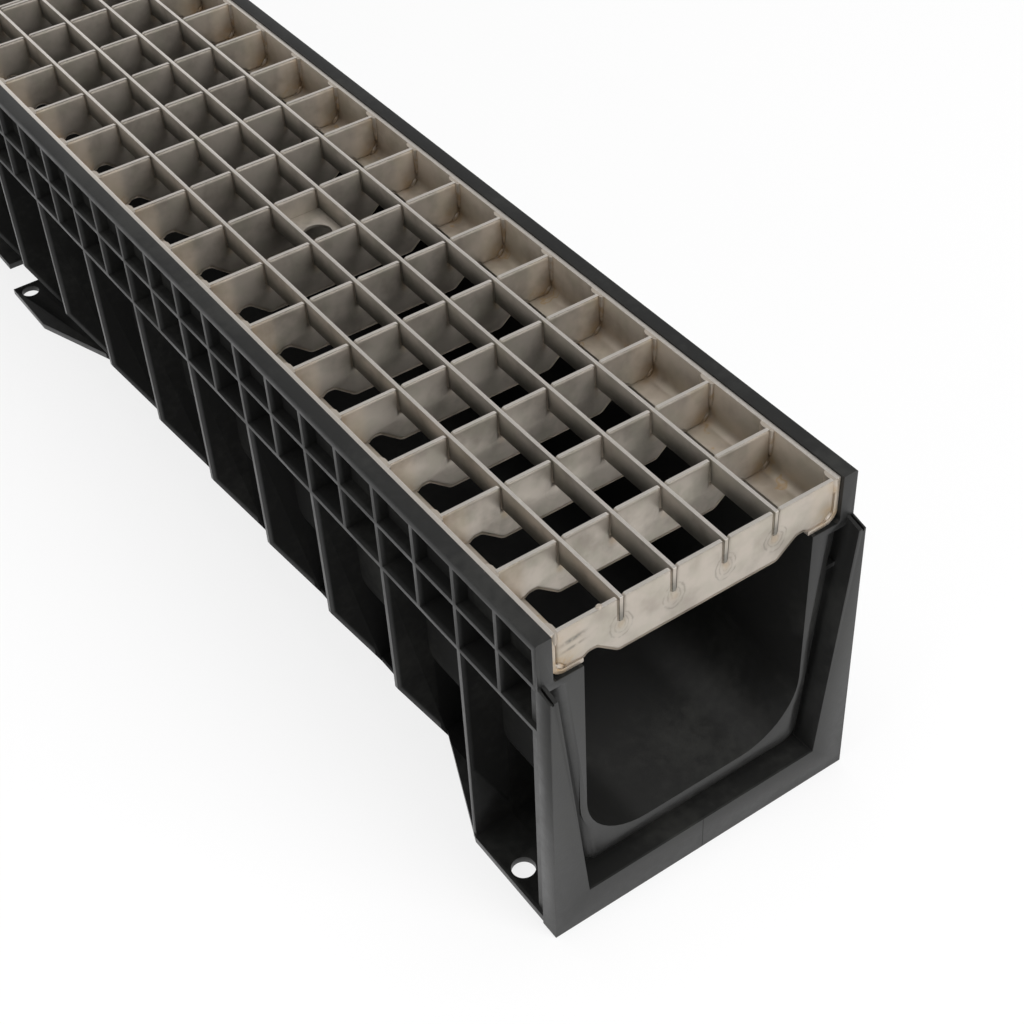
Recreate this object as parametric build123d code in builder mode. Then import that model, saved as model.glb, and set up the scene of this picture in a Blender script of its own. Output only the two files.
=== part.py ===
from build123d import *
import os

# Channel drain: a moulded plastic channel with two welded steel gratings in its rebate.
# Millimetres. X runs across, Y along (the socket end is at -Y), Z up from the underside.

# Channel body
laying_length = 1000.0          # from rim end to rim end
height = 150.0
width = 135.0                   # over the rim and the side ribs
trough_width = 98.0
trough_depth = 120.0            # from the rim's top to the trough's floor
trough_radius = 27.0            # inside, at the two bottom corners
wall = 3.0
rebate_width = 122.4
rebate_depth = 21.2
rebate_fillet = 1.5
rim_thickness = 3.6
rim_edge_radius = 0.8

# Ribs of the channel
rib_thickness = 2.0
rib_pitch = 25.0
first_rib = 23.1                # from the near rim end
upper_shelf_z = 128.8           # middle of the shelf level with the rebate's seat
lower_shelf_z = 107.0
rib_shoulder_z = 41.3           # below this the long ribs slant inwards
base_thickness = 3.0
base_width = 96.0

# Socket frame at the near end
frame_reach = 6.7               # how far it stands out past the rim's end
frame_thickness = 8.0
frame_top_z = 129.8
frame_top_width = 134.8
frame_foot_width = 138.0
frame_top_drop = 1.9            # fall of its top edge towards the front
window_top_width = 129.0
window_foot_width = 106.8
window_foot_z = 16.6
frame_step = 2.0                # how much narrower the frame's back part is
frame_back_depth = 5.4
pocket_floor_thickness = 2.4
frame_groove_inset = 0.7        # fine groove along the top of each side of the frame
frame_groove_width = 0.9
frame_groove_foot_z = 127.0
end_rib_thickness = 2.4         # closes the side above the frame, flush with the rim's end

# Rounded collar round the trough's mouth, inside the socket frame
collar_gap = 1.2
collar_depth = 7.8
collar_radius = 7.0
collar_corner_radius = 9.0

# Spigot at the far end
spigot_reach = 6.9              # how far trough and rim run past the end plate
end_plate_thickness = 2.6

# Lugs of the bottom plate, with their fixing holes
end_lug_width = 137.0
end_lug_length = 45.0           # straight part, measured from the frame
lug_taper_length = 50.0
end_hole_spacing = 123.6
end_hole_setback = 23.9         # from the near rim end
end_hole_diameter = 9.5
mid_lug_width = 131.0
mid_lug_length = 38.0
mid_lug_end = 12.3              # from the drain's middle back to the lug's cut end
mid_hole_spacing = 117.8
mid_hole_setback = 7.0          # from the lug's cut end
mid_hole_diameter = 9.0
narrow_foot_width = 116.4
narrow_foot_length = 37.0
narrow_foot_start = 10.3        # from the drain's middle

# Gratings
grating_height = 20.5
grating_end_gap = 1.5
grating_gap = 1.0               # between the two gratings
rail_clearance = 0.2            # beside each rail in the rebate
rail_thickness = 2.0
rail_flange_width = 13.0
rail_bend_radius = 5.5          # outside
plate_count = 16
plate_thickness = 1.6
plate_clearance = 0.1           # beside the plate, at each rail
plate_corner_cut = 4.0          # clears the rail's bend; the weld fills it
plate_foot_width = 13.4         # from the rail's outer face to the notch
plate_notch_rise = 1.4
plate_notch_width = 5.0
plate_notch_radius = 2.5
plate_slope_width = 8.6
plate_belly_depth = 24.3        # below the grating's top
bar_count = 4
bar_thickness = 1.5
bar_depth = 11.0
bar_pitch = 21.74
bar_clearance = 0.2             # on each side in the slit

# Lock plates
lock_plate_thickness = 1.6
lock_plate_drop = 9.6           # from the grating's top to the plate's upper face
lock_plate_clearance = 0.1      # between the plate and the bars beside it
lock_flange_height = 2.8        # down from the upper face, past the bars' lower edge
lock_hole_diameter = 12.4

# Places along the drain
overall_length = laying_length + frame_reach
frame_front = -overall_length / 2
rim_near = frame_front + frame_reach
rim_far = rim_near + laying_length
rim_middle = (rim_near + rim_far) / 2
frame_back = frame_front + frame_thickness
pocket_back = frame_back + frame_back_depth
end_plate_back = rim_far - spigot_reach

# Heights
seat_z = height - rebate_depth
floor_z = height - trough_depth
rim_underside = height - rim_thickness
grating_top = seat_z + grating_height


def across(y):
    """Upright plane across the drain at y; a negative extrusion from it runs towards +Y."""
    return Plane.XZ.offset(-y)


def trapezoid(top_width, top_z, foot_width, foot_z):
    """Upright outline with sloping sides, symmetrical about the drain's middle plane."""
    with BuildLine() as outline:
        Polyline(
            (-top_width / 2, top_z),
            (-foot_width / 2, foot_z),
            (foot_width / 2, foot_z),
            (top_width / 2, top_z),
            close=True,
        )
    make_face(outline.edges())


def rib_places():
    """Middle of every rib along the drain; they take turns, short first."""
    count = int((end_plate_back - end_plate_thickness - rim_near - first_rib) / rib_pitch) + 1
    return [rim_near + first_rib + k * rib_pitch for k in range(count)]


def mouth_collar():
    """Block round the trough's mouth with its outer front edges rounded off."""
    with BuildPart() as collar:
        with BuildSketch(across(rim_near)):
            trapezoid(
                window_top_width - 2 * collar_gap, seat_z,
                window_foot_width - 2 * collar_gap, window_foot_z + collar_gap,
            )
        extrude(amount=-collar_depth)
        lengthwise = collar.edges().filter_by(Axis.Y).group_by(Axis.Z)[0]
        fillet(lengthwise, radius=collar_corner_radius)
        front = collar.faces().sort_by(Axis.Y)[0]
        top_edge = front.edges().sort_by(Axis.Z)[-1]
        fillet([edge for edge in front.edges() if edge != top_edge], radius=collar_radius)
    return collar.part


def lug_outline(lug_width, straight_from, straight_to, taper_to):
    """Plan of a lug pair: straight between two stations, then tapering to the bottom plate."""
    with BuildLine() as outline:
        Polyline(
            (-lug_width / 2, straight_from),
            (-lug_width / 2, straight_to),
            (-base_width / 2, taper_to),
            (base_width / 2, taper_to),
            (lug_width / 2, straight_to),
            (lug_width / 2, straight_from),
            close=True,
        )
    make_face(outline.edges())


def side_rail(side, start, length):
    """Folded rail: upright web beside the rebate's wall, flange inwards on the seat."""
    outer = rebate_width / 2 - rail_clearance
    with BuildPart() as rail:
        with BuildSketch(across(start)) as section:
            with BuildLine() as fold:
                Polyline(
                    (side * outer, grating_top),
                    (side * outer, seat_z),
                    (side * (outer - rail_flange_width), seat_z),
                )
                fillet(fold.vertices().sort_by_distance((side * outer, seat_z))[0], radius=rail_bend_radius)
                offset(amount=rail_thickness, side=Side.LEFT if side < 0 else Side.RIGHT)
            make_face()
        extrude(amount=-length)
    return rail.part


def bar_places():
    """Middle of every lengthwise bar, across the drain."""
    return [(k - (bar_count - 1) / 2) * bar_pitch for k in range(bar_count)]


def cross_plate(start):
    """Upright plate between the rails, with feet on their flanges and slits for the bars."""
    outer = rebate_width / 2 - rail_clearance
    half = outer - rail_thickness - plate_clearance
    foot_z = seat_z + rail_thickness
    foot_end = outer - plate_foot_width
    notch_end = foot_end - plate_notch_width
    belly = notch_end - plate_slope_width
    with BuildPart() as plate:
        with BuildSketch(across(start)) as face:
            with BuildLine():
                Polyline(
                    (0, grating_top),
                    (half, grating_top),
                    (half, foot_z + plate_corner_cut),
                    (half - plate_corner_cut, foot_z),
                    (foot_end, foot_z),
                    (foot_end - plate_notch_rise, foot_z + plate_notch_rise),
                    (notch_end, foot_z + plate_notch_rise),
                    (belly, grating_top - plate_belly_depth),
                    (0, grating_top - plate_belly_depth),
                    close=True,
                )
            make_face()
            notch_corner = (foot_end - plate_notch_rise, foot_z + plate_notch_rise)
            fillet(face.vertices().sort_by_distance(notch_corner)[0], radius=plate_notch_radius)
            mirror(about=Plane.YZ)
            with Locations(*[(x, grating_top) for x in bar_places()]):
                Rectangle(
                    bar_thickness + 2 * bar_clearance, bar_depth,
                    align=(Align.CENTER, Align.MAX), mode=Mode.SUBTRACT,
                )
        extrude(amount=-plate_thickness)
    return plate.part


def lengthwise_bar(x, start, length):
    """Flat bar on edge, standing in the slits of every cross plate."""
    with BuildPart() as bar:
        with BuildSketch(across(start)):
            with Locations((x, grating_top)):
                Rectangle(bar_thickness, bar_depth, align=(Align.CENTER, Align.MAX))
        extrude(amount=-length)
    return bar.part


def lock_plate(front, back):
    """Folded plate between the two middle bars: a floor with a hole, and a flange down each bar."""
    plate_width = bar_pitch - bar_thickness - 2 * lock_plate_clearance
    floor_top = grating_top - lock_plate_drop
    with BuildPart() as plate:
        with BuildSketch(across(front)):
            with Locations((0, floor_top)):
                Rectangle(plate_width, lock_flange_height, align=(Align.CENTER, Align.MAX))
            with Locations((0, floor_top - lock_plate_thickness)):
                Rectangle(
                    plate_width - 2 * lock_plate_thickness, lock_flange_height,
                    align=(Align.CENTER, Align.MAX), mode=Mode.SUBTRACT,
                )
        extrude(amount=front - back)
        with Locations(Plane.XY.offset(floor_top)):
            with Locations((0, (front + back) / 2)):
                Hole(lock_hole_diameter / 2)
    return plate.part


def save(piece, name):
    """Labels a finished piece and writes it."""
    piece.label = name
    export_step(piece, f"parts/{name}.step")


os.makedirs("parts", exist_ok=True)

collar = mouth_collar()
with BuildPart() as channel:
    # Socket frame with its pocket and end rib at the near end, and the plain plate at the far end.
    with BuildSketch(across(frame_front)):
        trapezoid(frame_top_width, frame_top_z, frame_foot_width, 0)
    extrude(amount=-frame_thickness)
    with BuildSketch(across(frame_back)):
        trapezoid(frame_top_width - 2 * frame_step, frame_top_z, frame_foot_width - 2 * frame_step, 0)
    extrude(amount=-frame_back_depth)
    with BuildSketch(across(frame_front)):
        trapezoid(window_top_width, frame_top_z, window_foot_width, window_foot_z)
    extrude(amount=-(pocket_back - pocket_floor_thickness - frame_front), mode=Mode.SUBTRACT)
    with BuildSketch(Plane.YZ):
        with BuildLine():
            Polyline(
                (frame_front, frame_top_z),
                (frame_front, frame_top_z - frame_top_drop),
                (rim_near, frame_top_z),
                close=True,
            )
        make_face()
    extrude(amount=frame_foot_width, both=True, mode=Mode.SUBTRACT)
    groove_x = (frame_top_width - frame_groove_width) / 2 - frame_groove_inset
    with BuildSketch(across(frame_front)):
        with Locations((-groove_x, frame_groove_foot_z), (groove_x, frame_groove_foot_z)):
            Rectangle(
                frame_groove_width, frame_top_z - frame_groove_foot_z,
                align=(Align.CENTER, Align.MIN),
            )
    extrude(amount=-frame_reach, mode=Mode.SUBTRACT)
    with BuildSketch(across(end_plate_back)):
        with Locations((0, 0)):
            Rectangle(width, rim_underside, align=(Align.CENTER, Align.MIN))
    extrude(amount=end_plate_thickness)
    with BuildSketch(across(rim_near)):
        with Locations((0, upper_shelf_z)):
            Rectangle(width, rim_underside - upper_shelf_z, align=(Align.CENTER, Align.MIN))
    extrude(amount=-end_rib_thickness)
    add(collar)

    # Rim, rebate and trough as one section, before the inside is cut out of it.
    with BuildSketch(across(rim_near)) as section:
        with Locations((0, floor_z - wall)):
            Rectangle(trough_width + 2 * wall, seat_z - floor_z, align=(Align.CENTER, Align.MIN))
        fillet(section.vertices().group_by(Axis.Y)[0], radius=trough_radius + wall)
        with Locations((0, seat_z - wall)):
            Rectangle(rebate_width + 2 * wall, rebate_depth, align=(Align.CENTER, Align.MIN))
        with Locations((0, rim_underside)):
            Rectangle(width, rim_thickness, align=(Align.CENTER, Align.MIN))
        fillet(section.vertices().group_by(Axis.Y)[-1], radius=rim_edge_radius)
    extrude(amount=-laying_length)

    # Two shelves, the bottom plate, and the upright ribs that cross them.
    with BuildSketch(across(frame_back)):
        with Locations((0, upper_shelf_z), (0, lower_shelf_z)):
            Rectangle(width, rib_thickness)
        with Locations((0, 0)):
            Rectangle(base_width, base_thickness, align=(Align.CENTER, Align.MIN))
    extrude(amount=-(end_plate_back - frame_back))
    places = rib_places()
    with BuildSketch(*[across(y) for y in places[0::2]]):
        with Locations((0, lower_shelf_z)):
            Rectangle(width, rim_underside - lower_shelf_z, align=(Align.CENTER, Align.MIN))
    extrude(amount=rib_thickness / 2, both=True)
    with BuildSketch(*[across(y) for y in places[1::2]]):
        trapezoid(width, rib_shoulder_z, base_width, 0)
        with Locations((0, rib_shoulder_z)):
            Rectangle(width, rim_underside - rib_shoulder_z, align=(Align.CENTER, Align.MIN))
    extrude(amount=rib_thickness / 2, both=True)
    # The first and last long ribs stand on the end lugs and keep their full width.
    with BuildSketch(across(places[1]), across(places[1::2][-1])):
        Rectangle(width, lower_shelf_z, align=(Align.CENTER, Align.MIN))
    extrude(amount=rib_thickness / 2, both=True)

    # Lugs that widen the bottom plate, and the holes through them.
    near_end = frame_back + end_lug_length
    far_end = end_plate_back - end_lug_length
    mid_cut = rim_middle - mid_lug_end
    mid_straight = mid_cut - mid_lug_length
    foot_start = rim_middle + narrow_foot_start
    foot_end = foot_start + narrow_foot_length
    with BuildSketch():
        lug_outline(end_lug_width, frame_back, near_end, near_end + lug_taper_length)
        lug_outline(end_lug_width, end_plate_back, far_end, far_end - lug_taper_length)
        lug_outline(mid_lug_width, mid_cut, mid_straight, mid_straight - lug_taper_length)
        lug_outline(narrow_foot_width, foot_start, foot_end, foot_end + lug_taper_length)
    extrude(amount=base_thickness)
    end_hole_places = [
        (side * end_hole_spacing / 2, y)
        for side in (-1, 1)
        for y in (rim_near + end_hole_setback, rim_far - end_hole_setback)
    ]
    mid_hole_places = [(side * mid_hole_spacing / 2, mid_cut - mid_hole_setback) for side in (-1, 1)]
    with BuildSketch():
        with Locations(*end_hole_places):
            Circle(end_hole_diameter / 2)
        with Locations(*mid_hole_places):
            Circle(mid_hole_diameter / 2)
    extrude(amount=base_thickness, mode=Mode.SUBTRACT)

    # Cuts trough and rebate along the whole length, through the ribs as well.
    with BuildSketch(across(frame_front)) as inside:
        with Locations((0, floor_z)):
            Rectangle(trough_width, seat_z - floor_z, align=(Align.CENTER, Align.MIN))
        fillet(inside.vertices().group_by(Axis.Y)[0], radius=trough_radius)
        with BuildSketch(mode=Mode.PRIVATE) as rebate:
            with Locations((0, seat_z)):
                Rectangle(rebate_width, 2 * rebate_depth, align=(Align.CENTER, Align.MIN))
            fillet(rebate.vertices().group_by(Axis.Y)[0], radius=rebate_fillet)
        add(rebate.sketch)
    extrude(amount=-overall_length, mode=Mode.SUBTRACT)
save(channel.part, "channel")

grating_length = (laying_length - 2 * grating_end_gap - grating_gap) / 2
plate_pitch = (grating_length - plate_thickness) / (plate_count - 1)
near_start = rim_near + grating_end_gap
far_start = near_start + grating_length + grating_gap
for end, start in (("near", near_start), ("far", far_start)):
    save(side_rail(-1, start, grating_length), f"{end}_left_rail")
    save(side_rail(1, start, grating_length), f"{end}_right_rail")
    for k in range(plate_count):
        save(cross_plate(start + k * plate_pitch), f"{end}_cross_plate_{k + 1:02d}")
    for k, x in enumerate(bar_places()):
        save(lengthwise_bar(x, start, grating_length), f"{end}_bar_{k + 1}")
    middle_cell = start + (plate_count // 2 - 1) * plate_pitch
    save(lock_plate(middle_cell + plate_thickness, middle_cell + plate_pitch), f"{end}_lock_plate")
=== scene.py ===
"""Looks of a channel drain: a black moulded channel with two welded stainless gratings."""

from math import radians

import bpy
from bpy.props import FloatProperty, FloatVectorProperty
from mathutils import Matrix, Vector


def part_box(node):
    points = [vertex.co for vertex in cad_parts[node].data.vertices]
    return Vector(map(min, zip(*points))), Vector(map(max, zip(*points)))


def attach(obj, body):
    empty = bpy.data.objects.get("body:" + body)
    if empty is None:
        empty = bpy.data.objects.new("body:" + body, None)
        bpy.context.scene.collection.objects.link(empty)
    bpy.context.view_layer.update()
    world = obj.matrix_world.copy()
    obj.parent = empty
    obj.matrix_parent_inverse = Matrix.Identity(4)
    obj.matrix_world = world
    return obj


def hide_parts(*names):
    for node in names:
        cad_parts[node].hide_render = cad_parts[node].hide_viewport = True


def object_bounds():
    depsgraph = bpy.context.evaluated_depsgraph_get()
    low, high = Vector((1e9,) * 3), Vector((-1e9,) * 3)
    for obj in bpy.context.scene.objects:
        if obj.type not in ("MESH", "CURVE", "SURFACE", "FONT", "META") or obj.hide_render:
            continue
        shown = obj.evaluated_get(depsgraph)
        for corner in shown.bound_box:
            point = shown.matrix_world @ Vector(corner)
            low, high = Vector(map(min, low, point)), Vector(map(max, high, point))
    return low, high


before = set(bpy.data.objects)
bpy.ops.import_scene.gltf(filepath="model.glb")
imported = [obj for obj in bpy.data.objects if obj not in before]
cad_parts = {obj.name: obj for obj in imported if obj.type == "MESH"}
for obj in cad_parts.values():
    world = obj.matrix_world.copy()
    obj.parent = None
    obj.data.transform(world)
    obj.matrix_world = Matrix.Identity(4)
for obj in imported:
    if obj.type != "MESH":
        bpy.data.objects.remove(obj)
cad_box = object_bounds()

bl_info = {
    "name": "Channel drain",
    "version": (1, 0, 0),
    "blender": (4, 5, 0),
    "location": "3D View > Sidebar > Drain",
    "description": "Finishes a plastic drainage channel and its welded bar gratings",
    "category": "Add Mesh",
}

GRATINGS = ("near", "far")
STEEL_SLOT = "grating_steel"
PLASTIC_SLOT = "channel_plastic"

# A hair's breadth in metres: masks end this far off a face, and a point this near a face is on it.
HAIR = 0.0003

# Whole pitches added before a fraction is taken, so that it is never taken below zero.
WHOLE_PITCHES = 20.0

# Points closer together than this, in metres, become one.
DOUBLES = 2e-6

# Faces of a solid that meet at less than FLAT become one, and edges sharper than SHARP are rounded.
FLAT = radians(0.5)
SHARP = radians(40)

# Half sizes of the weld beads: across, along and up before they are turned.
CORNER_BEAD = (0.0024, 0.0009, 0.0012)
BACK_TACK = (0.0020, 0.0034, 0.0072)
FRONT_TACK = (0.0014, 0.0015, 0.0100)
STRAY_DROP = (0.0013, 0.0010, 0.0012)


# Sizes and colours


class ChannelSettings(bpy.types.PropertyGroup):
    edge_radius: FloatProperty(
        name="Edge radius", description="Rounding of the moulding's edges and inner corners",
        default=0.0004, unit="LENGTH")
    colour: FloatVectorProperty(
        name="Plastic", description="Black of the moulding", subtype="COLOR", size=3,
        default=(0.010, 0.010, 0.0096))
    # Painted shade: the black that the trough is darkened to far inside.
    deep_colour: FloatVectorProperty(
        name="Deep black", description="Black far inside the trough", subtype="COLOR", size=3,
        default=(0.003, 0.003, 0.003))
    dusty_colour: FloatVectorProperty(
        name="Handled plastic", description="Greyer black where the moulding has been rubbed",
        subtype="COLOR", size=3, default=(0.019, 0.019, 0.0175))
    roughness: FloatProperty(
        name="Roughness", description="Satin of the moulded skin", default=0.36, subtype="FACTOR")
    grain: FloatProperty(
        name="Grain size", description="Spacing of the fine texture of the mould",
        default=0.0009, unit="LENGTH")
    gloss: FloatProperty(
        name="Gloss", description="Strength of the plastic's reflection", default=0.5,
        subtype="FACTOR")
    # Painted shade: the low gloss that darkens the bays between the ribs.
    bay_gloss: FloatProperty(
        name="Bay gloss", description="Strength of the reflection deep between the ribs",
        default=0.08, subtype="FACTOR")
    rib_edge: FloatProperty(
        name="Rib edge", description="Distance of the ribs' outer edges from the middle",
        default=0.0675, unit="LENGTH")
    rib_shoulder: FloatProperty(
        name="Rib shoulder", description="Height below which the ribs slant inwards",
        default=0.0413, unit="LENGTH")
    rib_slope: FloatProperty(
        name="Rib slant", description="How far the ribs have come in at their foot",
        default=0.0195, unit="LENGTH")
    rib_pitch: FloatProperty(
        name="Rib pitch", description="Spacing of the ribs", default=0.025, unit="LENGTH")
    trough_wall: FloatProperty(
        name="Trough wall", description="Middle of the trough's wall", default=0.0505,
        unit="LENGTH")
    rim_end: FloatProperty(
        name="Rim end", description="Where the rim ends, behind the frame",
        default=-0.49665, unit="LENGTH")
    rim_foot: FloatProperty(
        name="Rim foot", description="Height of the rim's underside", default=0.1464, unit="LENGTH")
    pocket_end: FloatProperty(
        name="Pocket end", description="Back of the frame's pocket", default=-0.48995,
        unit="LENGTH")
    window_foot: FloatProperty(
        name="Window foot", description="Height of the bar under the frame's window",
        default=0.0166, unit="LENGTH")
    bay_wall: FloatProperty(
        name="Upper bay wall", description="Outer face of the thin wall behind the upper bays",
        default=0.0624, unit="LENGTH")
    window_side: FloatProperty(
        name="Window side", description="Half width of the foot of the frame's window",
        default=0.0530, unit="LENGTH")
    seam: FloatProperty(
        name="Parting line", description="Place of the mould's parting line on the frame's foot",
        default=-0.0006, unit="LENGTH")
    seam_reach: FloatProperty(
        name="Parting line reach", description="How far the parting line shows to each side",
        default=0.00035, unit="LENGTH")


class GratingSettings(bpy.types.PropertyGroup):
    edge_radius: FloatProperty(
        name="Edge radius", description="Rounding of the sheared steel edges",
        default=0.00018, unit="LENGTH")
    colour: FloatVectorProperty(
        name="Steel", description="Warm grey of pickled stainless steel", subtype="COLOR",
        size=3, default=(0.54, 0.487, 0.425))
    dark_colour: FloatVectorProperty(
        name="Dull steel", description="Darker patches of the sheet", subtype="COLOR", size=3,
        default=(0.36, 0.32, 0.275))
    tint_colour: FloatVectorProperty(
        name="Heat tint", description="Straw brown that welding leaves", subtype="COLOR",
        size=3, default=(0.42, 0.27, 0.12))
    # Painted highlight: the light caught along the top edges.
    worn_colour: FloatVectorProperty(
        name="Worn edge", description="Bright steel of the walked-on top edges", subtype="COLOR",
        size=3, default=(0.86, 0.81, 0.75))
    roughness: FloatProperty(
        name="Roughness", description="Satin of the pickled sheet", default=0.42, subtype="FACTOR")
    metal: FloatProperty(
        name="Metal", description="Share of the sheet that mirrors; the rest is matt oxide",
        default=0.72, subtype="FACTOR")
    bar_pitch: FloatProperty(
        name="Bar pitch", description="Spacing of the lengthwise bars",
        default=(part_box("near_bar_2")[0].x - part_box("near_bar_1")[0].x), unit="LENGTH")
    ring_radius: FloatProperty(
        name="Heat ring", description="Radius of the ring that each bar's weld leaves",
        default=0.0055, unit="LENGTH")
    corner: FloatVectorProperty(
        name="Weld corner",
        description="Middle of the weld between plate and rail bend, across and up",
        subtype="XYZ", size=2, unit="LENGTH", default=(0.0573, 0.1324))
    smear_height: FloatProperty(
        name="Smear height",
        description="Height of the dark smear at the near end plate's left end",
        default=0.1487, unit="LENGTH")
    green_colour: FloatVectorProperty(
        name="Greenish steel", description="Cooler patches of the pickled sheet", subtype="COLOR",
        size=3, default=(0.40, 0.39, 0.31))
    # Soot of smears and heat rings, and also the painted shade on the bars' feet.
    soot_colour: FloatVectorProperty(
        name="Soot", description="Dark grey green of smears and of the bars' feet", subtype="COLOR",
        size=3, default=(0.115, 0.115, 0.10))
    nub: FloatVectorProperty(
        name="Stray nub",
        description="Place of a drop of weld on the near end plate, across and along",
        subtype="XYZ", size=2, unit="LENGTH", default=(-0.0410, -0.4941))
    notch_corner: FloatVectorProperty(
        name="Notch corner", description="Where a notch meets the slope under it, across and up",
        subtype="XYZ", size=2, unit="LENGTH", default=(0.0426, 0.1322))
    notch_radius: FloatProperty(
        name="Notch rounding", description="Width of the rounding at that corner",
        default=0.0022, unit="LENGTH")


class StageSettings(bpy.types.PropertyGroup):
    place: FloatVectorProperty(
        name="Camera place", description="Where the camera stands", subtype="TRANSLATION",
        size=3, default=(-0.2791, -0.8173, 0.5702))
    heading: FloatProperty(
        name="Heading", description="Turn of the view to the right of the drain's line",
        default=radians(32.70), subtype="ANGLE")
    dip: FloatProperty(
        name="Dip", description="How far the view points down", default=radians(43.30),
        subtype="ANGLE")
    lean: FloatProperty(
        name="Lean", description="Clockwise lean of the camera", default=radians(3.27),
        subtype="ANGLE")
    lens: FloatProperty(
        name="Lens", description="Focal length on a 36 mm sensor, in millimetres", default=64.22)
    floor_size: FloatProperty(
        name="Floor", description="Side of the pale floor", default=8.0, unit="LENGTH")
    floor_colour: FloatVectorProperty(
        name="Floor colour", description="Pale grey of the floor", subtype="COLOR", size=3,
        default=(0.8, 0.8, 0.8))
    room_light: FloatProperty(
        name="Room light", description="Even light of the room on the drain", default=0.25)
    ceiling: FloatProperty(
        name="Ceiling", description="How light the ceiling is in reflections", default=0.35)
    wall_top: FloatProperty(
        name="Wall top",
        description="Height of the view, 0 level and 1 overhead, where the walls darken",
        default=0.1)
    ceiling_start: FloatProperty(
        name="Ceiling start",
        description="Height of the view, 0 level and 1 overhead, of the dark ceiling", default=0.6)


# Materials


class Socket:
    """A node's output with Python's arithmetic; each operator adds one Math node."""

    def __init__(self, tree, link):
        self.tree = tree
        self.link = link

    def _math(self, operation, *terms):
        return self.tree.math(operation, *terms)

    def __add__(self, other):
        return self._math("ADD", self, other)

    def __radd__(self, other):
        return self._math("ADD", other, self)

    def __sub__(self, other):
        return self._math("SUBTRACT", self, other)

    def __rsub__(self, other):
        return self._math("SUBTRACT", other, self)

    def __mul__(self, other):
        return self._math("MULTIPLY", self, other)

    def __rmul__(self, other):
        return self._math("MULTIPLY", other, self)

    def __truediv__(self, other):
        return self._math("DIVIDE", self, other)

    def __rtruediv__(self, other):
        return self._math("DIVIDE", other, self)

    def __abs__(self):
        return self._math("ABSOLUTE", self)

    def __lt__(self, other):
        return self._math("LESS_THAN", self, other)

    def __gt__(self, other):
        return self._math("GREATER_THAN", self, other)


class ShaderTree:
    """Builds the nodes of a material or of the world."""

    def __init__(self, owner, output="ShaderNodeOutputMaterial"):
        owner.use_nodes = True
        self.owner = owner
        self.nodes = owner.node_tree.nodes
        self.links = owner.node_tree.links
        self.nodes.clear()
        self.output = self.nodes.new(output)

    def _feed(self, socket, value):
        """Links a Socket, or sets a plain value."""
        if isinstance(value, Socket):
            self.links.new(value.link, socket)
        else:
            socket.default_value = value

    def node(self, kind, settings=None, *values, output=0, **named):
        """Adds a node: its settings first, then what its sockets get, by order or by name."""
        added = self.nodes.new(kind)
        for setting, value in (settings or {}).items():
            setattr(added, setting, value)
        for socket, value in zip(added.inputs, values):
            self._feed(socket, value)
        for name, value in named.items():
            self._feed(added.inputs[name.replace("_", " ")], value)
        return Socket(self, added.outputs[output])

    def math(self, operation, *terms):
        """One Math node."""
        return self.node("ShaderNodeMath", {"operation": operation}, *terms)

    def place(self):
        """Object coordinates, which are the drain's own metres."""
        return self.node("ShaderNodeTexCoord", output="Object")

    def parts(self, vector):
        """X, Y and Z of a vector, each as a number."""
        return [self.node("ShaderNodeSeparateXYZ", None, vector, output=axis) for axis in "XYZ"]

    def seen_by(self, *rays):
        """1 for these kinds of ray and 0 for all others."""
        return sum(self.node("ShaderNodeLightPath", output=f"Is {ray} Ray") for ray in rays)

    def stretched(self, x, y, z):
        """Object coordinates, each axis times its own number."""
        return self.node("ShaderNodeVectorMath", {"operation": "MULTIPLY"}, self.place(), (x, y, z))

    def noise(self, size, detail=3.0, vector=None):
        """Noise with features of about this size in metres, around one half."""
        return self.node(
            "ShaderNodeTexNoise", {"noise_dimensions": "3D"}, output="Fac",
            Vector=vector or self.place(), Scale=1 / size, Detail=detail, Roughness=0.55)

    def step(self, value, start, end):
        """Smooth rise from 0 to 1 while value goes from start to end."""
        return self.node(
            "ShaderNodeMapRange", {"interpolation_type": "SMOOTHSTEP"},
            Value=value, From_Min=start, From_Max=end, To_Min=0.0, To_Max=1.0)

    def band(self, value, middle, half_width):
        """1 at the middle, falling smoothly to 0 half_width away on both sides."""
        return 1 - self.step(abs(value - middle), 0.0, half_width)

    def length(self, across, up):
        """Length of the line with these two parts."""
        return self.math("SQRT", across * across + up * up)

    def from_middle(self, value):
        """Where the value stands between two whole numbers: 0 half way, -0.5 and 0.5 at them."""
        return self.math("FRACT", value) - 0.5

    def mix(self, factor, first, second):
        """Mix of two colours."""
        added = self.nodes.new("ShaderNodeMix")
        added.data_type = "RGBA"
        sockets = {socket.identifier: socket for socket in added.inputs}
        self._feed(sockets["Factor_Float"], factor)
        for name, colour in (("A_Color", first), ("B_Color", second)):
            self._feed(sockets[name], colour if isinstance(colour, Socket) else (*colour, 1.0))
        return Socket(self, added.outputs[2])

    def bump(self, height, distance, strength):
        """Normal of a surface raised by height times distance."""
        return self.node(
            "ShaderNodeBump", None, output="Normal",
            Height=height, Distance=distance, Strength=strength)

    def finish(self, shader):
        """Makes this shader the surface, and returns the material or the world."""
        self.links.new(shader.link, self.output.inputs["Surface"])
        return self.owner


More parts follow.
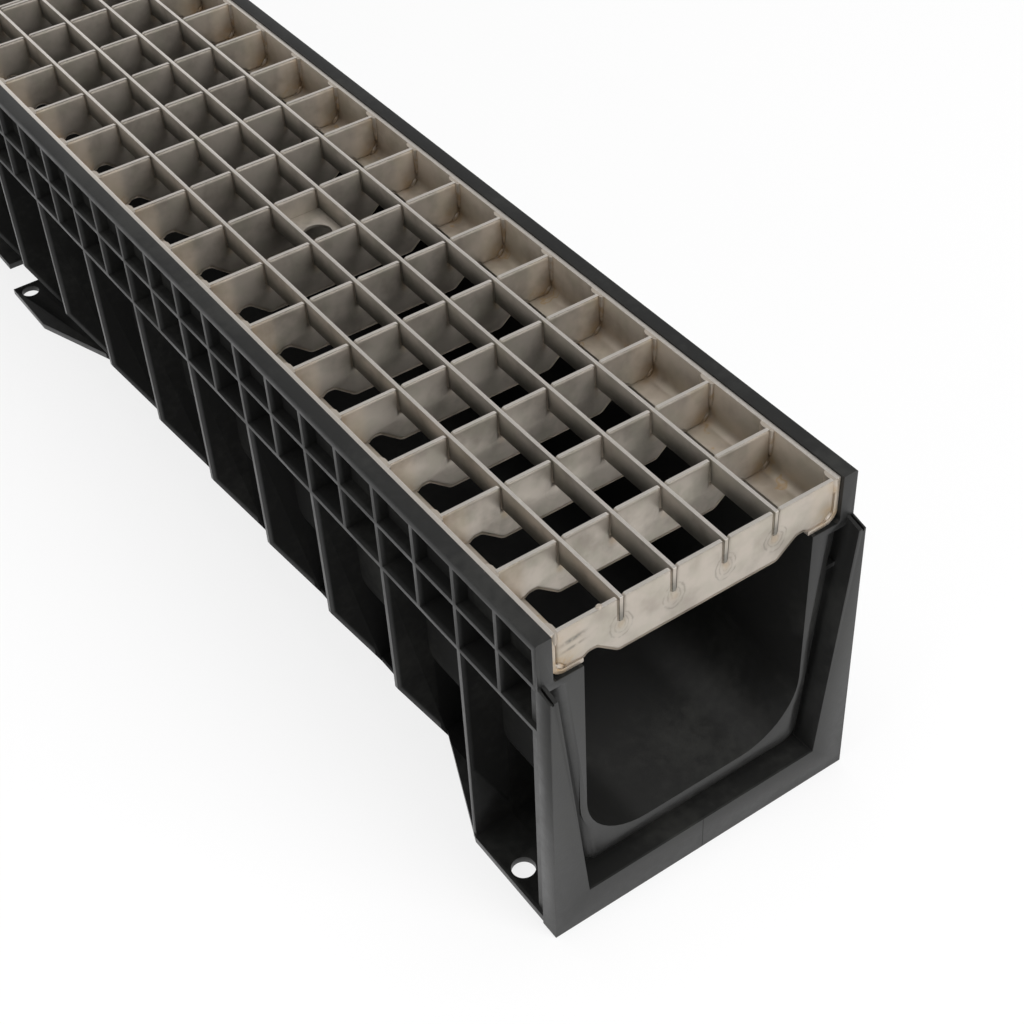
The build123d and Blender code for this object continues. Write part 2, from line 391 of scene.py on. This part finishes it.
def moulded_plastic(settings):
    """Black plastic: satin where handled, dull between the ribs and in the trough as painted shade.
    """
    tree = ShaderTree(bpy.data.materials.new("moulded plastic"))
    x, y, z = tree.parts(tree.place())
    aside = abs(x)
    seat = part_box("near_left_rail")[0].z
    front = cad_box[0].y
    cloud = tree.noise(0.045, detail=4.0)
    speck = tree.noise(0.0035, detail=2.0)
    grain = tree.noise(settings.grain, detail=1.0)
    flow = tree.noise(0.01, vector=tree.stretched(1.0, 0.12, 1.0))
    rubbed = tree.step(cloud + 0.35 * speck, 0.62, 0.92)
    scratch = tree.noise(0.004, detail=5.0, vector=tree.stretched(1.0, 0.06, 0.5))
    scuffs = tree.step(scratch, 0.66, 0.72)
    colour = tree.mix(rubbed, settings.colour, settings.dusty_colour)
    colour = tree.mix(0.25 * scuffs, colour, settings.dusty_colour)

    # The bays lie outside the trough, behind the frame and deeper than the ribs' outer edges.
    # Painted shade: there the plastic is dull, with little reflection, as if shaded by the ribs.
    # A rib is glossy to lit_edge from its outer edge, and dull from dull_edge on.
    lit_edge, dull_edge = 0.0006, 0.0024
    slanted = tree.math("MAXIMUM", 1 - z / settings.rib_shoulder, 0.0)
    rib_edge = settings.rib_edge - settings.rib_slope * slanted
    upper_wall = settings.bay_wall - 2 * HAIR
    trough_wall = settings.trough_wall + (upper_wall - settings.trough_wall) * (z > seat)
    bays = (aside > trough_wall) * (
        1 - tree.step(aside, rib_edge - dull_edge, rib_edge - lit_edge))
    pocket_top = seat - 0.0024
    behind_frame = settings.rim_end + (settings.pocket_end - settings.rim_end) * (z < pocket_top)
    bays = bays * (y > behind_frame + HAIR) * (z < settings.rim_foot + HAIR)

    # Painted sheen under the rim: a reflection that fades from the near side of each bay to the far
    # side.
    smudge_height = 0.0062
    along = tree.math("FRACT", (y - settings.rim_end) / settings.rib_pitch)
    smudge = tree.step(z, settings.rim_foot - smudge_height, settings.rim_foot) * (
        1 - 0.7 * tree.step(along, 0.1, 0.9)) * tree.step(cloud + speck, 0.7, 1.1)

    # The foot of the window in the frame, which lies in the shade, up to foot_height.
    foot_height = 0.0055
    sill = settings.window_foot
    foot = (1 - tree.step(z, sill + 0.0002, sill + foot_height)) * (z > sill - 0.0004)
    foot = foot * (y < settings.pocket_end - 0.0005) * (aside < settings.window_side)
    foot = foot * tree.step(y, front + 0.0002, front + 0.0012)
    seam = tree.band(x, settings.seam, settings.seam_reach) * (y < settings.rim_end) * (z < sill)

    # Painted shade: inside the trough it gets darker, and duller, over the first centimetres behind
    # the rim's end.
    inside = tree.step(y, settings.rim_end + 0.02, settings.rim_end + 0.08) * (
        aside < trough_wall) * (z < seat - 0.0005)
    colour = tree.mix(0.7 * inside, colour, settings.deep_colour)

    satin = tree.node(
        "ShaderNodeBsdfPrincipled", None,
        Base_Color=colour, Specular_IOR_Level=settings.gloss,
        Roughness=settings.roughness + 0.16 * (cloud - 0.5) + 0.12 * (speck - 0.5) + 0.05 * rubbed,
        Normal=tree.bump(grain + 0.6 * flow, distance=0.00006, strength=0.5))
    # Dull plastic with little reflection: painted shade wherever it is mixed in, except on the
    # parting line.
    dull = tree.node(
        "ShaderNodeBsdfPrincipled", None,
        Base_Color=colour, Specular_IOR_Level=settings.bay_gloss, Roughness=0.8)
    # Painted shade in the bays, at the window's foot and inside the trough, less under the rim's
    # painted sheen; the parting line's dullness is its own.
    share = bays * (1 - 0.85 * smudge) + 0.9 * foot + 0.7 * seam + 0.9 * inside
    return tree.finish(tree.node("ShaderNodeMixShader", None, share, satin, dull))


def slit_heat(tree, settings, x, z, bar_foot, mottle):
    """Rings, and the core inside them, that the bars' welds leave on a plate under its slits."""
    pitch, radius = settings.bar_pitch, settings.ring_radius
    squeeze, drop, waver = 1.2, 0.0018, 0.0030
    from_bar = tree.from_middle(x / pitch + WHOLE_PITCHES)
    distance = tree.length(squeeze * pitch * from_bar, z - (bar_foot - drop))
    distance = distance + waver * (tree.noise(0.005) - 0.5)

    def ring(share, half_width):
        return tree.band(distance, share * radius, half_width)

    rings = ring(1.0, 0.0007) + 0.8 * ring(0.62, 0.0006) + 0.5 * ring(0.3, 0.0005)
    between_rails = 1 - tree.step(abs(x), 1.7 * pitch, 1.9 * pitch)
    core = 1 - tree.step(distance, 0.0, 0.0035)
    return rings * tree.step(mottle, 0.34, 0.58) * between_rails, core * between_rails


def joint_stains(tree, settings, aside, y, z, seat):
    """Stains where a plate is welded to a rail: in the rail's bend, and up its web."""
    first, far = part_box("near_cross_plate_01"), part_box("far_cross_plate_01")
    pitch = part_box("near_cross_plate_02")[0].y - first[0].y
    # The far grating's row of plates starts at its own first plate.
    on_far = y > far[0].y - 0.0005
    along = y - 0.5 * (first[0].y + first[1].y) - (far[0].y - first[0].y) * on_far
    from_plate = tree.from_middle(along / pitch + (WHOLE_PITCHES + 0.5))
    joint = 1 - tree.step(abs(from_plate) * pitch, 0.0012, 0.0052)
    corner_x, corner_z = settings.corner
    bend = 1 - tree.step(tree.length(aside - corner_x, z - corner_z), 0.0022, 0.0090)
    web = tree.step(aside, corner_x - 0.0035, corner_x + 0.001) * tree.step(
        z, seat + 0.008, seat + 0.018)
    patch = tree.step(tree.noise(0.005, detail=4.0), 0.36, 0.62)
    return joint * bend * patch, joint * web * patch


def end_smear(tree, settings, x, z, mottle):
    """Dark smear of two slanting strokes at the left end of an end plate."""
    slant, middle, half_length = 0.12, -0.0520, 0.0078
    across = z - slant * x - settings.smear_height
    strokes = tree.band(across, 0.0, 0.0017) + 0.7 * tree.band(across, -0.0036, 0.0011)
    return strokes * tree.band(x, middle, half_length) * tree.step(mottle, 0.32, 0.54)


def sheet_steel(name, settings, streaks, dull_foot=0.0):
    """Pickled stainless sheet: soft mottle, heat rings under the slits, and stains at the welds.

    The rolling streaks are drawn out by streaks, and dull_foot paints shade on the foot of the
    bars.
    The top edges get a painted highlight.
    """
    tree = ShaderTree(bpy.data.materials.new(name))
    x, y, z = tree.parts(tree.place())
    aside = abs(x)
    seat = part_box("near_left_rail")[0].z
    bar_foot, top = (corner.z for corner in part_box("near_bar_1"))
    on_rail = tree.step(aside, 0.046, 0.0505)
    on_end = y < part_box("near_cross_plate_01")[0].y + 0.0004

    mottle = tree.noise(0.0045, detail=3.0)
    cloud = tree.noise(0.016, detail=3.0)
    streak = tree.noise(0.0012, detail=3.0, vector=tree.stretched(*streaks))
    shade = tree.step(0.80 * cloud + 0.16 * mottle + 0.04 * streak, 0.42, 0.70)
    hue = tree.step(tree.noise(0.011, detail=2.0), 0.45, 0.62)
    colour = tree.mix(shade, settings.colour, settings.dark_colour)
    colour = tree.mix(0.30 * hue, colour, settings.green_colour)
    colour = tree.mix(0.16 * on_rail, colour, settings.tint_colour)
    colour = tree.mix(0.35 * on_end, colour, settings.dark_colour)

    rings, core = slit_heat(tree, settings, x, z, bar_foot, mottle)
    colour = tree.mix((0.06 + 0.32 * on_end) * rings, colour, settings.soot_colour)
    colour = tree.mix(0.30 * core * tree.step(cloud, 0.4, 0.6), colour, settings.tint_colour)
    bend_stain, web_stain = joint_stains(tree, settings, aside, y, z, seat)
    colour = tree.mix(0.48 * bend_stain, colour, settings.tint_colour)
    colour = tree.mix(0.30 * web_stain, colour, settings.tint_colour)

    # Water stains and a haze low on the rails.
    low = on_rail * (1 - tree.step(z, seat + 0.002, seat + 0.010))
    blot = tree.noise(0.013, detail=3.0)
    stain = tree.band(blot, 0.62, 0.035) * low
    haze = tree.step(blot, 0.54, 0.70) * low
    colour = tree.mix(0.55 * stain + 0.22 * haze, colour, settings.tint_colour)
    smear = end_smear(tree, settings, x, z, mottle) * on_end
    colour = tree.mix(0.9 * smear, colour, settings.soot_colour)
    # Painted shade: the bars are darker towards their feet, for the dark trough they face.
    foot = (1 - tree.step(z, bar_foot + 0.001, bar_foot + 0.0095)) * dull_foot
    colour = tree.mix(foot, colour, settings.soot_colour)
    # Painted highlight along the top edges, which are also made a little more metallic and
    # smoother.
    worn = tree.step(z, top - 0.0003, top - 0.0001)
    colour = tree.mix(0.8 * worn, colour, settings.worn_colour)

    surface = tree.node(
        "ShaderNodeBsdfPrincipled", None,
        Base_Color=colour,
        Metallic=settings.metal + 0.15 * worn - 0.25 * haze - 0.17 * on_rail * (1 - worn),
        Roughness=settings.roughness + 0.12 * (cloud - 0.5) + 0.12 * (mottle - 0.5)
        + 0.10 * haze - 0.06 * worn,
        Normal=tree.bump(mottle + 0.25 * streak, distance=0.00005, strength=0.3))
    return tree.finish(surface)


def weld_metal(settings):
    """Weld bead: rippled, tinted brown at its foot, with a painted highlight on its crown."""
    tree = ShaderTree(bpy.data.materials.new("weld metal"))
    z = tree.parts(tree.place())[2]
    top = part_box("near_bar_1")[1].z
    ripple = tree.noise(0.0011, detail=2.0)
    patch = tree.step(tree.noise(0.004), 0.40, 0.62)
    # Painted highlight: the tint fades towards the top, so that the crown shows lighter.
    crown = tree.step(z, top - 0.006, top)
    tint = 0.55 * patch * (1 - 0.9 * crown) + 0.06
    surface = tree.node(
        "ShaderNodeBsdfPrincipled", None,
        Base_Color=tree.mix(tint, settings.colour, settings.tint_colour),
        Metallic=settings.metal,
        Roughness=0.40 + 0.3 * (ripple - 0.5),
        Normal=tree.bump(ripple, distance=0.0002, strength=0.5))
    return tree.finish(surface)


def pale_floor(settings):
    """Pale floor that shows near white to the camera, to metal and to glass, with a soft shadow."""
    tree = ShaderTree(bpy.data.materials.new("pale floor"))
    x, y, _ = tree.parts(tree.place())
    diffuse = tree.node("ShaderNodeBsdfDiffuse", None, Color=(*settings.floor_colour, 1.0))
    # In reflections it is darker left of the channel, for a darker room there, and in a strip
    # under the near end, which is a painted shadow of the channel's foot.
    beside = tree.step(0 - x, 0.08, 0.17)
    before = tree.band(y, cad_box[0].y, 0.03)
    dimmed = (0.75 * beside + 0.35 * before) * tree.seen_by("Glossy")
    glow_colour = tree.mix(dimmed, (1.0, 1.0, 1.0), (0.0, 0.0, 0.0))
    glow = tree.node("ShaderNodeEmission", None, Color=glow_colour, Strength=1.0)
    # Further out than the drain reaches, it glows all over and melts into the white room.
    share = 0.8 + 0.2 * tree.step(tree.length(x, y), 0.8, 1.8)
    seen = tree.seen_by("Camera", "Glossy", "Transmission")
    return tree.finish(tree.node("ShaderNodeMixShader", None, share * seen, diffuse, glow))


def studio_world(settings):
    """Pale room: white to the camera, and to gloss white low down and greyer overhead."""
    tree = ShaderTree(bpy.data.worlds.new("studio"), "ShaderNodeOutputWorld")
    towards = tree.node("ShaderNodeTexCoord", output="Generated")
    height = tree.parts(towards)[2]
    ceiling = tree.step(height, settings.wall_top, settings.ceiling_start)
    shown = 1 - (1 - settings.ceiling) * ceiling
    room = settings.room_light
    strength = room + (1 - room) * tree.seen_by("Camera", "Transmission")
    strength = strength + (shown - room) * tree.seen_by("Glossy")
    return tree.finish(tree.node("ShaderNodeBackground", None, (1.0, 1.0, 1.0, 1.0), strength))


# Modelling


def select_only(piece):
    """Makes this the one selected and active object."""
    bpy.ops.object.select_all(action="DESELECT")
    piece.select_set(True)
    bpy.context.view_layer.objects.active = piece


def rounded_copy(node, name, radius, segments, shape=None):
    """Merged copy of a CAD solid, shaped further and with its edges rounded, in its place."""
    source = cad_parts[node]
    piece = bpy.data.objects.new(name, source.data.copy())
    bpy.context.scene.collection.objects.link(piece)
    select_only(piece)
    bpy.ops.mesh.customdata_custom_splitnormals_clear()
    bpy.ops.object.mode_set(mode="EDIT")
    bpy.ops.mesh.select_mode(type="VERT")
    bpy.ops.mesh.select_all(action="SELECT")
    bpy.ops.mesh.remove_doubles(threshold=DOUBLES)
    bpy.ops.mesh.dissolve_limited(angle_limit=FLAT)
    bpy.ops.object.mode_set(mode="OBJECT")
    if shape:
        shape(piece)
    bevel = piece.modifiers.new("Rounded edges", "BEVEL")
    bevel.width, bevel.segments = radius, segments
    bevel.limit_method, bevel.angle_limit = "ANGLE", SHARP
    bevel.use_clamp_overlap = True
    bpy.ops.object.modifier_apply(modifier=bevel.name)
    bpy.ops.object.shade_smooth_by_angle(angle=radians(38))
    return piece


def moved_copy(piece, name, offset):
    """Copy with its own mesh, moved in the mesh so that its object stays at the origin."""
    copy = bpy.data.objects.new(name, piece.data.copy())
    bpy.context.scene.collection.objects.link(copy)
    copy.data.transform(Matrix.Translation(offset))
    return copy


def dress(piece, material, slot, *nodes):
    """Gives a finished piece its material and its place in the frame."""
    piece.data.materials.clear()
    piece.data.materials.append(material)
    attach(piece, "root")
    if nodes:
        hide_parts(*nodes)


def steel(name, streaks, dull_foot=0.0):
    """The sheet steel whose rolling streaks run this way, made once."""
    settings = bpy.context.scene.drain_grating
    return bpy.data.materials.get(name) or sheet_steel(name, settings, streaks, dull_foot)


def finish_alike(nodes, suffix, material, segments, shape=None):
    """Models the first of these nodes' pieces, and copies it to the places of the others."""
    radius = bpy.context.scene.drain_grating.edge_radius
    first = rounded_copy(nodes[0], f"{nodes[0]}_{suffix}", radius, segments, shape)
    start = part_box(nodes[0])[0]
    pieces = [first]
    for node in nodes[1:]:
        pieces.append(moved_copy(first, f"{node}_{suffix}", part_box(node)[0] - start))
    for node, piece in zip(nodes, pieces):
        dress(piece, material, STEEL_SLOT, node)


def alike(kind):
    """Names of the CAD nodes of this kind, along both gratings."""
    names = sorted(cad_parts)
    return [name for end in GRATINGS for name in names if name.startswith(f"{end}_{kind}")]


def deepen_upper_bays(channel):
    """Sets the wall behind the upper bays back, so that they are as deep as in the real one."""
    thin_wall = bpy.context.scene.drain_channel.bay_wall
    low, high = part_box("near_right_rail")
    # The wall is this thick beside the rails, and ends this far from the far rail's end.
    wall, far_plate = 0.0032, 0.006
    outer = high.x + wall
    start, stop = low.y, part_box("far_right_rail")[1].y - far_plate
    for vertex in channel.data.vertices:
        place = vertex.co
        on_wall = abs(abs(place.x) - outer) < HAIR and place.z > low.z + 0.0005
        if on_wall and start < place.y < stop:
            place.x = thin_wall if place.x > 0 else -thin_wall


class DRAIN_OT_finish_channel(bpy.types.Operator):
    """Rounds the moulding's edges and gives it its plastic"""
    bl_idname = "drain.finish_channel"
    bl_label = "Channel"

    def execute(self, context):
        settings = context.scene.drain_channel
        piece = rounded_copy(
            "channel", "moulded_channel", settings.edge_radius, segments=2,
            shape=deepen_upper_bays)
        dress(piece, moulded_plastic(settings), PLASTIC_SLOT, "channel")
        return {"FINISHED"}


def round_notches(plate):
    """Rounds the inner corner of both notches of a cross plate."""
    settings = bpy.context.scene.drain_grating
    corner, reach = Vector(settings.notch_corner), 0.0008
    for edge in plate.data.edges:
        ends = [plate.data.vertices[index].co for index in edge.vertices]
        edge.select = all((Vector((abs(end.x), end.z)) - corner).length < reach for end in ends)
    bpy.ops.object.mode_set(mode="EDIT")
    bpy.ops.mesh.select_mode(type="EDGE")
    bpy.ops.mesh.bevel(
        offset=settings.notch_radius, offset_type="WIDTH", segments=5, affect="EDGES")
    bpy.ops.object.mode_set(mode="OBJECT")


class DRAIN_OT_finish_rails(bpy.types.Operator):
    """Finishes the four folded side rails"""
    bl_idname = "drain.finish_rails"
    bl_label = "Side rails"

    def execute(self, context):
        rolled = steel("rail steel", (1.0, 0.15, 1.0))
        for side in ("left", "right"):
            finish_alike(alike(f"{side}_rail"), "folded", rolled, segments=2)
        return {"FINISHED"}


class DRAIN_OT_finish_cross_plates(bpy.types.Operator):
    """Finishes the upright plates that cross the gratings"""
    bl_idname = "drain.finish_cross_plates"
    bl_label = "Cross plates"

    def execute(self, context):
        rolled = steel("plate steel", (1.0, 1.0, 0.1))
        finish_alike(alike("cross_plate"), "cut", rolled, segments=1, shape=round_notches)
        return {"FINISHED"}


class DRAIN_OT_finish_bars(bpy.types.Operator):
    """Finishes the flat bars that run along the gratings"""
    bl_idname = "drain.finish_bars"
    bl_label = "Bars"

    def execute(self, context):
        # The bars get painted shade at their feet.
        rolled = steel("bar steel", (1.0, 0.08, 1.0), dull_foot=0.72)
        finish_alike(alike("bar"), "drawn", rolled, segments=2)
        return {"FINISHED"}


class DRAIN_OT_finish_lock_plates(bpy.types.Operator):
    """Finishes the folded lock plates with their holes"""
    bl_idname = "drain.finish_lock_plates"
    bl_label = "Lock plates"

    def execute(self, context):
        rolled = steel("plate steel", (1.0, 1.0, 0.1))
        finish_alike(alike("lock_plate"), "pressed", rolled, segments=2)
        return {"FINISHED"}


def bead(middle, radii, turn, cut, towards):
    """Small lump of weld metal: a squashed ball, turned about Y and cut flat at a plane."""
    bpy.ops.object.select_all(action="DESELECT")
    bpy.ops.mesh.primitive_uv_sphere_add(segments=10, ring_count=6, radius=1.0, location=middle)
    piece = bpy.context.active_object
    piece.scale = radii
    piece.rotation_euler = (0.0, turn, 0.0)
    bpy.ops.object.transform_apply(location=True, rotation=True, scale=True)
    bpy.ops.object.mode_set(mode="EDIT")
    bpy.ops.mesh.select_all(action="SELECT")
    bpy.ops.mesh.bisect(plane_co=cut, plane_no=towards, use_fill=True, clear_outer=True)
    bpy.ops.object.mode_set(mode="OBJECT")
    bpy.ops.object.shade_smooth_by_angle(angle=radians(50))
    return piece


def level_bead(middle, radii, top):
    """Upright lump of weld metal, cut level at its top."""
    return bead(middle, radii, 0.0, (0.0, 0.0, top), (0.0, 0.0, 1.0))


def joined(name, *pieces):
    """These pieces as one."""
    select_only(pieces[0])
    for piece in pieces:
        piece.select_set(True)
    bpy.ops.object.join()
    pieces[0].name = name
    return pieces[0]


def both_sides_in_row(piece, count, pitch):
    """Mirrors a piece across the drain's middle and repeats it along the drain."""
    select_only(piece)
    mirror = piece.modifiers.new("Both sides", "MIRROR")
    bpy.ops.object.modifier_apply(modifier=mirror.name)
    row = piece.modifiers.new("Row", "ARRAY")
    row.count = count
    row.use_relative_offset, row.use_constant_offset = False, True
    row.constant_offset_displace = (0.0, pitch, 0.0)
    bpy.ops.object.modifier_apply(modifier=row.name)
    bpy.ops.object.mode_set(mode="EDIT")
    bpy.ops.mesh.select_all(action="SELECT")
    bpy.ops.mesh.remove_doubles(threshold=DOUBLES)
    bpy.ops.mesh.normals_make_consistent(inside=False)
    bpy.ops.object.mode_set(mode="OBJECT")
    return piece


class DRAIN_OT_lay_welds(bpy.types.Operator):
    """Lays the welds between cross plates and rails, and the stray nub at the near end"""
    bl_idname = "drain.lay_welds"
    bl_label = "Welds"

    def execute(self, context):
        settings = context.scene.drain_grating
        metal = weld_metal(settings)
        plates = [node for node in alike("cross_plate") if node.startswith("near")]
        low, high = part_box(plates[0])
        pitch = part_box(plates[1])[0].y - low.y
        across, height = settings.corner

        corner = Vector((across, (low.y + high.y) / 2, height))
        outward = Vector((0.7, 0.0, -0.7))
        corners = bead(corner, CORNER_BEAD, radians(-45), corner + 0.001 * outward, outward)
        both_sides_in_row(corners, len(plates), pitch)

        # Both tacks are cut just under the plates' top, at two heights, so that no faces coincide.
        behind = level_bead(
            (high.x + 0.0002, high.y + 0.0012, high.z - 0.0022), BACK_TACK, high.z - 0.0001)
        before = level_bead(
            (high.x + 0.0001, low.y + pitch, high.z - 0.0030), FRONT_TACK, high.z - 0.00025)
        tacks = both_sides_in_row(joined("tacks", behind, before), len(plates) - 1, pitch)

        welds = joined("near_joint_welds", corners, tacks)
        nub = level_bead((*settings.nub, high.z - 0.0002), STRAY_DROP, high.z + 0.0006)
        nub.name = "near_stray_nub"
        far_welds = moved_copy(welds, "far_joint_welds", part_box("far_cross_plate_01")[0] - low)
        for piece in (welds, far_welds, nub):
            dress(piece, metal, STEEL_SLOT)
        return {"FINISHED"}


class DRAIN_OT_set_stage(bpy.types.Operator):
    """Sets the floor, the lights and the camera"""
    bl_idname = "drain.set_stage"
    bl_label = "Stage"

    def execute(self, context):
        settings = context.scene.drain_stage
        low, high = cad_box
        self.lay_floor(settings)
        near_end = Vector((0.0, low[1] + 0.15, high[2] / 2))
        middle = Vector((0.0, 0.0, high[2] / 2))
        self.hang_softbox("key light", (0.6, -2.1, 1.25), near_end, size=1.2, power=34.0)
        self.hang_softbox("top light", (0.1, -0.1, 2.4), middle, size=2.2, power=45.0)
        self.hang_softbox("left light", (-1.9, -0.5, 0.7), middle, size=1.2, power=16.0)
        context.scene.world = studio_world(settings)
        self.place_camera(context.scene, settings)
        return {"FINISHED"}

    def lay_floor(self, settings):
        """Lays the floor just under the channel's foot."""
        bpy.ops.object.select_all(action="DESELECT")
        bpy.ops.mesh.primitive_plane_add(size=settings.floor_size, location=(0.0, 0.0, -0.0002))
        floor = bpy.context.active_object
        floor.name = "floor"
        bpy.ops.object.transform_apply(location=True, rotation=True, scale=True)
        floor.data.materials.append(pale_floor(settings))

    def hang_softbox(self, name, place, target, size, power):
        """Hangs a square light that points at its target and isn't seen in reflections."""
        bpy.ops.object.select_all(action="DESELECT")
        bpy.ops.object.light_add(type="AREA", location=place)
        lamp = bpy.context.active_object
        lamp.name = name
        lamp.rotation_euler = (target - Vector(place)).to_track_quat("-Z", "Y").to_euler()
        lamp.data.shape, lamp.data.size, lamp.data.energy = "SQUARE", size, power
        lamp.visible_glossy = False

    def place_camera(self, scene, settings):
        """Places the camera at the photograph's angle."""
        bpy.ops.object.select_all(action="DESELECT")
        bpy.ops.object.camera_add(location=settings.place)
        camera = bpy.context.active_object
        turn = (
            Matrix.Rotation(-settings.heading, 3, "Z")
            @ Matrix.Rotation(radians(90) - settings.dip, 3, "X")
            @ Matrix.Rotation(-settings.lean, 3, "Z")
        )
        camera.rotation_euler = turn.to_euler()
        camera.data.lens = settings.lens
        camera.data.sensor_width = 36.0
        camera.data.clip_start = 0.01
        scene.camera = camera
        scene.view_settings.view_transform = "Standard"


class DRAIN_PT_panel(bpy.types.Panel):
    """Lists the drain's steps in the order in which they run"""
    bl_label = "Channel drain"
    bl_space_type = "VIEW_3D"
    bl_region_type = "UI"
    bl_category = "Drain"

    def draw(self, context):
        for operator in PIECES:
            self.layout.operator(operator.bl_idname)
        for group in ("drain_channel", "drain_grating", "drain_stage"):
            settings = getattr(context.scene, group)
            box = self.layout.box()
            for name in settings.__annotations__:
                box.prop(settings, name)


SETTINGS = {
    "drain_channel": ChannelSettings, "drain_grating": GratingSettings,
    "drain_stage": StageSettings,
}
PIECES = (
    DRAIN_OT_set_stage, DRAIN_OT_finish_channel, DRAIN_OT_finish_rails,
    DRAIN_OT_finish_cross_plates, DRAIN_OT_finish_bars, DRAIN_OT_finish_lock_plates,
    DRAIN_OT_lay_welds,
)


def register():
    for name, group in SETTINGS.items():
        bpy.utils.register_class(group)
        setattr(bpy.types.Scene, name, bpy.props.PointerProperty(type=group))
    for operator in PIECES:
        bpy.utils.register_class(operator)
    bpy.utils.register_class(DRAIN_PT_panel)


def unregister():
    bpy.utils.unregister_class(DRAIN_PT_panel)
    for operator in reversed(PIECES):
        bpy.utils.unregister_class(operator)
    for name, group in reversed(SETTINGS.items()):
        delattr(bpy.types.Scene, name)
        bpy.utils.unregister_class(group)


def main():
    """Runs every step in order."""
    register()
    for operator in PIECES:
        group, step = operator.bl_idname.split(".")
        getattr(getattr(bpy.ops, group), step)()


if __name__ == "__main__":
    main()
